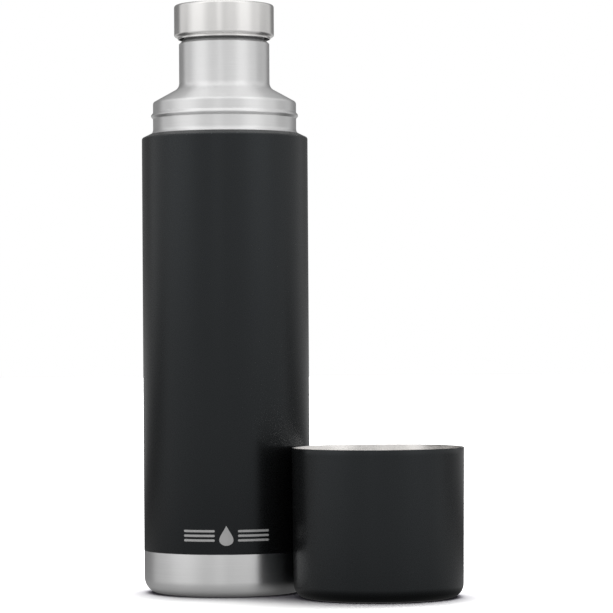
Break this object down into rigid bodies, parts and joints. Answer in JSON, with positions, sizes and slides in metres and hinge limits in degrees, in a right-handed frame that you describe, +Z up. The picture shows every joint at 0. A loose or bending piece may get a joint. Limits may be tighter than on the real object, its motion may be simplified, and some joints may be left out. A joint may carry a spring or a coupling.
{
  "type": "insulated growler",
  "caption": "Slim double-wall vacuum growler with a black powder-coated body, bare steel collar and base band, screw stopper with a steel cap, and a matching cup lid.",
  "frame": {"origin": "on the bottle's axis, in the plane the bottle and the cup stand on", "axes": "+Z up along the bottle's axis; +X to the right and -Y to the front, so the cup stands at the right and in front of the bottle"},
  "size_m": [0.1679, 0.1296, 0.3112],
  "materials": {
    "brushed_steel": "brushed round the bottle",
    "cap_steel": "brushed round the cap",
    "inner_steel": "satin, electropolished",
    "plain_steel": "plain sheet",
    "black_coat": "satin powder coat",
    "black_plastic": "fine matt",
    "silicone": "soft satin",
    "foam": "cellular",
    "foil": "crinkled foil",
    "getter_metal": "sintered",
    "seal_glass": "fused glass"
  },
  "bodies": {
    "bottle": {"outer_shell": "brushed_steel", "neck_shell": "brushed_steel", "body_coat": "black_coat", "base_pan": "plain_steel", "base_cover": "plain_steel", "vacuum_seal": "seal_glass", "getter": "getter_metal", "getter_clip": "plain_steel", "foil_wrap": "foil", "inner_vessel": "inner_steel", "inner_bottom": "inner_steel"},
    "stopper_seal": {"stopper_gasket": "silicone"},
    "stopper": {"stopper_body": "black_plastic", "stopper_plug_cap": "black_plastic", "stopper_foam": "foam", "lip_seal": "silicone", "cap_liner": "black_plastic", "cap_insulation": "foam", "cap_shell": "cap_steel"},
    "cup": {"cup_outer": "plain_steel", "cup_coat": "black_coat", "cup_inner": "inner_steel"}
  },
  "joints": [
    {"name": "stopper_rise", "type": "slide", "parent": "bottle", "child": "stopper_seal", "axis": [0, 0, 1], "range_m": [0, 0.0406]},
    {"name": "stopper_turn", "type": "hinge", "parent": "stopper_seal", "child": "stopper", "pos_m": [0, 0, 0.28], "axis": [0, 0, 1], "range_deg": [0, 1620]},
    {"name": "cup_lift", "type": "slide", "parent": "bottle", "child": "cup", "axis": [0, 0, 1], "range_m": [0, 0.3]}
  ],
  "couplings": [
    {"joint": "stopper_rise", "follows": "stopper_turn", "m_per_rad": 0.0014324}
  ]
}
